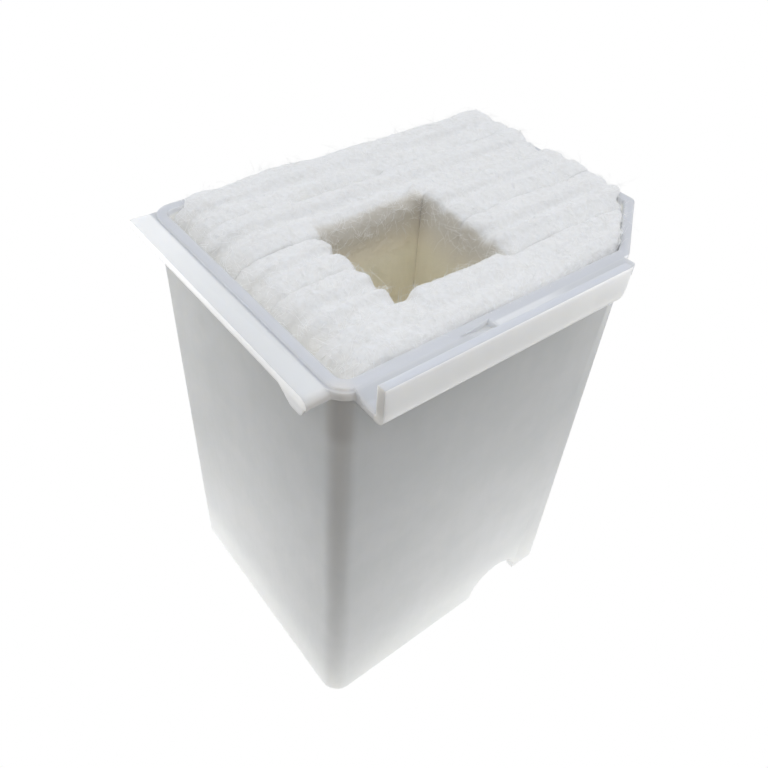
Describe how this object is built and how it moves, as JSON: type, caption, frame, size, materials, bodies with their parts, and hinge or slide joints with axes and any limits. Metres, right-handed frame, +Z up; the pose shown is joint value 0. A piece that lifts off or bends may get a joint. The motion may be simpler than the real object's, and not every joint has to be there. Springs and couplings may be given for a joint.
{
  "type": "aquarium filter box",
  "caption": "Open-topped translucent filter box with a hanging ledge, a front channel and a slotted floor, packed with folded white filter floss round a square well.",
  "frame": {"origin": "middle of the footprint of the bounding box, at the level of the skirt's bottom edge", "axes": "+X to the right along the channel side, +Y to the back, away from the channel, +Z up"},
  "size_m": [0.0904, 0.07, 0.1048],
  "materials": {
    "milky_plastic": "satin, milky translucent moulding",
    "white_floss": "soft matted polyester floss"
  },
  "bodies": {
    "box": {"filter_box": "milky_plastic"},
    "pad_front": {"floss_pad_front": "white_floss"},
    "pad_left_front": {"floss_pad_left_front": "white_floss"},
    "pad_right_front": {"floss_pad_right_front": "white_floss"},
    "pad_left_rear": {"floss_pad_left_rear": "white_floss"},
    "pad_right_rear": {"floss_pad_right_rear": "white_floss"},
    "pad_behind_well": {"floss_pad_behind_well": "white_floss"},
    "pad_back": {"floss_pad_back": "white_floss"}
  },
  "joints": [
    {"name": "lift_front", "type": "slide", "parent": "box", "child": "pad_front", "axis": [0, 0, 1], "range_m": [0, 0.1]},
    {"name": "lift_left_front", "type": "slide", "parent": "box", "child": "pad_left_front", "axis": [0, 0, 1], "range_m": [0, 0.1]},
    {"name": "lift_right_front", "type": "slide", "parent": "box", "child": "pad_right_front", "axis": [0, 0, 1], "range_m": [0, 0.1]},
    {"name": "lift_left_rear", "type": "slide", "parent": "box", "child": "pad_left_rear", "axis": [0, 0, 1], "range_m": [0, 0.1]},
    {"name": "lift_right_rear", "type": "slide", "parent": "box", "child": "pad_right_rear", "axis": [0, 0, 1], "range_m": [0, 0.1]},
    {"name": "lift_behind_well", "type": "slide", "parent": "box", "child": "pad_behind_well", "axis": [0, 0, 1], "range_m": [0, 0.1]},
    {"name": "lift_back", "type": "slide", "parent": "box", "child": "pad_back", "axis": [0, 0, 1], "range_m": [0, 0.1]}
  ]
}
